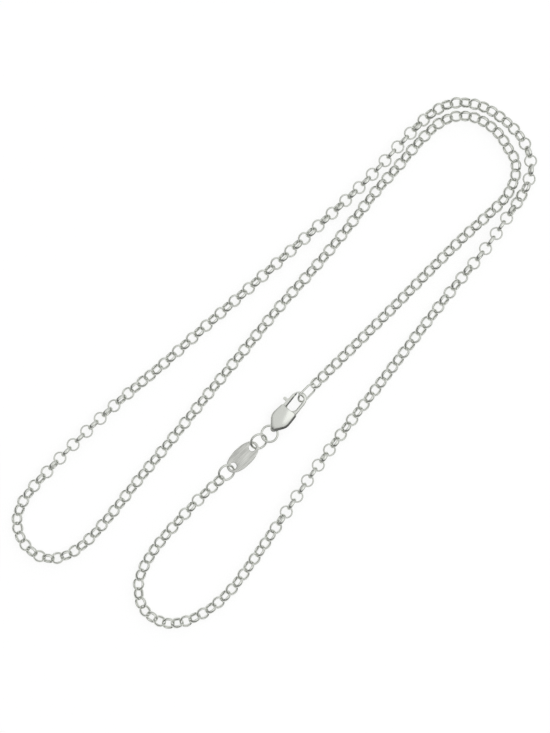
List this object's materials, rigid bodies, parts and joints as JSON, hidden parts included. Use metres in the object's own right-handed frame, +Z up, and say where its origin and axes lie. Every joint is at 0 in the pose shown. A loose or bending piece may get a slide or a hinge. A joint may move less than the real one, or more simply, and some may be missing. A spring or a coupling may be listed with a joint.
{
  "type": "rolo chain necklace",
  "caption": "Rolo chain necklace of round links with a lobster clasp, an oval end tag and jump rings, laid flat in folds.",
  "frame": {"origin": "centre of the part's box, on the surface it lies on", "axes": "+X along the strands, towards the folds beyond the clasp's hook; +Y across the strands; +Z up"},
  "size_m": [0.1234, 0.043, 0.0026],
  "materials": {
    "silver": "polished sterling silver",
    "brushed_silver": "silver brushed along the tag"
  },
  "bodies": {
    "necklace": {"chain_inner": "silver", "chain_outer": "silver", "first_link": "silver", "last_link": "silver", "clasp_ring": "silver", "tail_ring": "silver", "tag_ring": "silver", "chain_ring": "silver", "tag": "brushed_silver", "clasp_body": "silver", "clasp_pin": "silver"},
    "lever": {"clasp_lever": "silver"}
  },
  "joints": [
    {"name": "clasp_lever_hinge", "type": "hinge", "parent": "necklace", "child": "lever", "pos_m": [-0.00856, -0.0045, 0.0011], "axis": [0, 0, -1], "range_deg": [0, 12], "stiffness_Nm_per_rad": 0.003, "springref_deg": -11.46}
  ]
}
